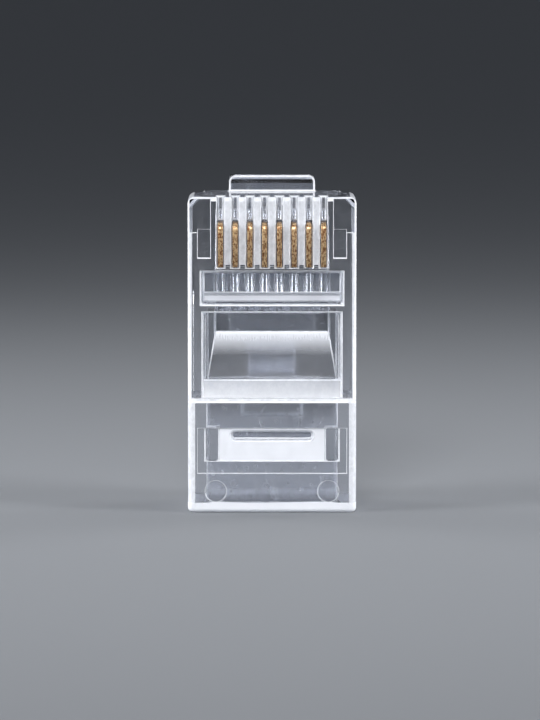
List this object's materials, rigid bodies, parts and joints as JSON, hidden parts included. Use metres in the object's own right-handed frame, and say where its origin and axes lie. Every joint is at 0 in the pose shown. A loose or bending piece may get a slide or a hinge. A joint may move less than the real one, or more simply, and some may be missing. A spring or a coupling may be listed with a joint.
{
  "type": "modular plug",
  "caption": "Clear modular plug with a row of insulation-piercing contacts, a sprung latch lever and crimp-in clamps for the wires and the jacket.",
  "frame": {"origin": "middle of the cable entry, in the plane of the cable end that the plug stands on", "axes": "+Z is the way the plug goes into its jack, -Y is the contact side, +Y is the latch side, X is across the contacts"},
  "size_m": [0.0116, 0.0121, 0.0231],
  "materials": {
    "clear_polycarbonate": "clear injection-moulded polycarbonate, polished",
    "gold_plated_bronze": "gold-plated phosphor bronze"
  },
  "bodies": {
    "housing": {"housing": "clear_polycarbonate"},
    "latch": {"latch_lever": "clear_polycarbonate"},
    "jacket_clamp": {"jacket_clamp": "clear_polycarbonate"},
    "conductor_clamp": {"conductor_clamp": "clear_polycarbonate"},
    "contact_1": {"contact_1": "gold_plated_bronze"},
    "contact_2": {"contact_2": "gold_plated_bronze"},
    "contact_3": {"contact_3": "gold_plated_bronze"},
    "contact_4": {"contact_4": "gold_plated_bronze"},
    "contact_5": {"contact_5": "gold_plated_bronze"},
    "contact_6": {"contact_6": "gold_plated_bronze"},
    "contact_7": {"contact_7": "gold_plated_bronze"},
    "contact_8": {"contact_8": "gold_plated_bronze"}
  },
  "joints": [
    {"name": "latch_flex", "type": "hinge", "parent": "housing", "child": "latch", "pos_m": [0, 0.00373, 0.02255], "axis": [-1, 0, 0], "range_deg": [0, 16], "stiffness_Nm_per_rad": 0.2},
    {"name": "jacket_clamp_turn", "type": "hinge", "parent": "housing", "child": "jacket_clamp", "pos_m": [0, -0.0026, 0.00943], "axis": [-1, 0, 0], "range_deg": [0, 22]},
    {"name": "conductor_clamp_press", "type": "slide", "parent": "housing", "child": "conductor_clamp", "axis": [0, 1, 0], "range_m": [0, 0.00045]},
    {"name": "contact_1_press", "type": "slide", "parent": "housing", "child": "contact_1", "axis": [0, 1, 0], "range_m": [0, 0.00085]},
    {"name": "contact_2_press", "type": "slide", "parent": "housing", "child": "contact_2", "axis": [0, 1, 0], "range_m": [0, 0.00085]},
    {"name": "contact_3_press", "type": "slide", "parent": "housing", "child": "contact_3", "axis": [0, 1, 0], "range_m": [0, 0.00085]},
    {"name": "contact_4_press", "type": "slide", "parent": "housing", "child": "contact_4", "axis": [0, 1, 0], "range_m": [0, 0.00085]},
    {"name": "contact_5_press", "type": "slide", "parent": "housing", "child": "contact_5", "axis": [0, 1, 0], "range_m": [0, 0.00085]},
    {"name": "contact_6_press", "type": "slide", "parent": "housing", "child": "contact_6", "axis": [0, 1, 0], "range_m": [0, 0.00085]},
    {"name": "contact_7_press", "type": "slide", "parent": "housing", "child": "contact_7", "axis": [0, 1, 0], "range_m": [0, 0.00085]},
    {"name": "contact_8_press", "type": "slide", "parent": "housing", "child": "contact_8", "axis": [0, 1, 0], "range_m": [0, 0.00085]}
  ],
  "couplings": [
    {"joint": "contact_2_press", "follows": "contact_1_press", "ratio": 1},
    {"joint": "contact_3_press", "follows": "contact_1_press", "ratio": 1},
    {"joint": "contact_4_press", "follows": "contact_1_press", "ratio": 1},
    {"joint": "contact_5_press", "follows": "contact_1_press", "ratio": 1},
    {"joint": "contact_6_press", "follows": "contact_1_press", "ratio": 1},
    {"joint": "contact_7_press", "follows": "contact_1_press", "ratio": 1},
    {"joint": "contact_8_press", "follows": "contact_1_press", "ratio": 1}
  ]
}
